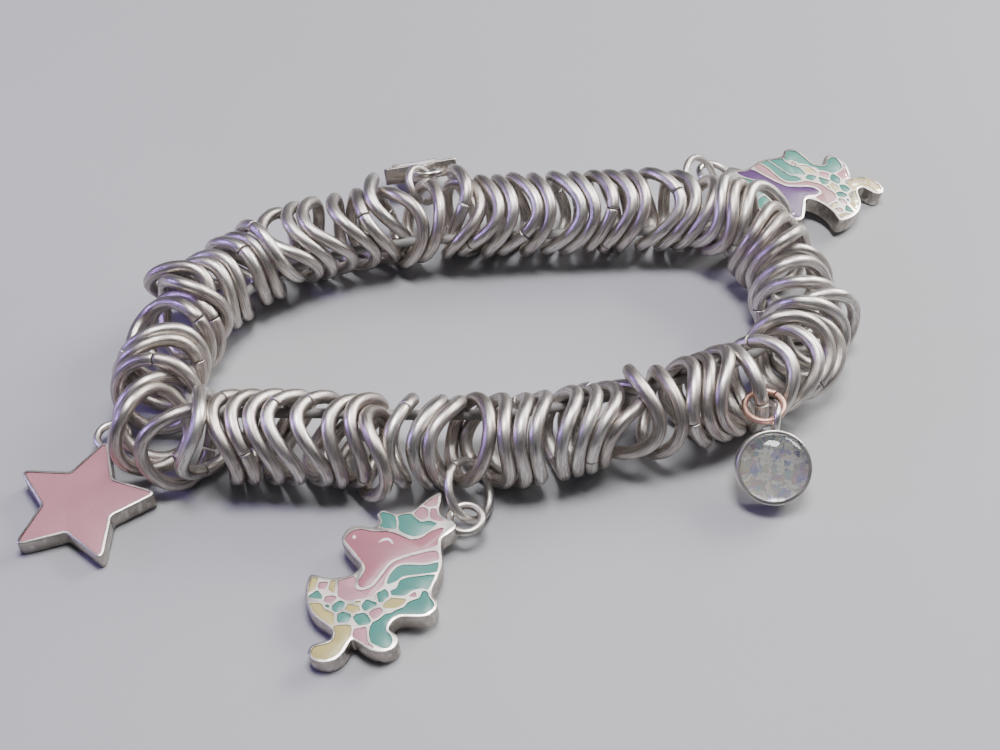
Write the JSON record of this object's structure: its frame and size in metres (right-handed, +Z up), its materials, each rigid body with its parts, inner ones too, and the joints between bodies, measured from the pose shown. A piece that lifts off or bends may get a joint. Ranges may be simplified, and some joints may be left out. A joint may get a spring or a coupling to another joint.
{
  "type": "stretch charm bracelet",
  "caption": "Silver-tone stretch bracelet of wavy split rings packed on an elastic, hung with enamel star and unicorn charms and a round glitter charm.",
  "frame": {"origin": "middle of the bracelet's box, on the surface it lies on", "axes": "+X along the long straight side of the loop, towards the round glitter charm; +Y away from that side, towards the small star; +Z up from the surface"},
  "size_m": [0.0852, 0.0648, 0.0094],
  "materials": {
    "ring_silver": "satin",
    "charm_silver": "satin",
    "copper": "satin",
    "pink_enamel": "gloss",
    "purple_enamel": "gloss",
    "teal_enamel": "gloss",
    "mauve_enamel": "gloss",
    "yellow_enamel": "gloss",
    "clear_dome": "clear gloss",
    "glitter": "sparkling",
    "elastic": "matt"
  },
  "bodies": {
    "root": {"back_star_enamel": "pink_enamel", "back_star_jump_ring": "charm_silver", "back_star_plate": "charm_silver", "band_arc_01": "ring_silver", "band_arc_02": "ring_silver", "band_arc_03": "ring_silver", "band_arc_04": "ring_silver", "band_arc_05": "ring_silver", "band_arc_06": "ring_silver", "band_arc_07": "ring_silver", "band_arc_08": "ring_silver", "band_arc_09": "ring_silver", "band_arc_10": "ring_silver", "band_arc_11": "ring_silver", "band_arc_12": "ring_silver", "band_arc_13": "ring_silver", "band_arc_14": "ring_silver", "cabochon_cup": "charm_silver", "cabochon_dome": "clear_dome", "cabochon_jump_ring": "copper", "star_enamel": "pink_enamel", "star_jump_ring": "charm_silver", "star_plate": "charm_silver", "unicorn_back_face_enamel": "purple_enamel", "unicorn_back_forelock_enamel": "teal_enamel", "unicorn_back_jump_ring": "charm_silver", "unicorn_back_mane_enamel": "teal_enamel", "unicorn_back_plate": "charm_silver", "unicorn_front_face_enamel": "pink_enamel", "unicorn_front_forelock_enamel": "teal_enamel", "unicorn_front_jump_ring": "charm_silver", "unicorn_front_mane_enamel": "teal_enamel", "unicorn_front_plate": "charm_silver"}
  },
  "joints": []
}
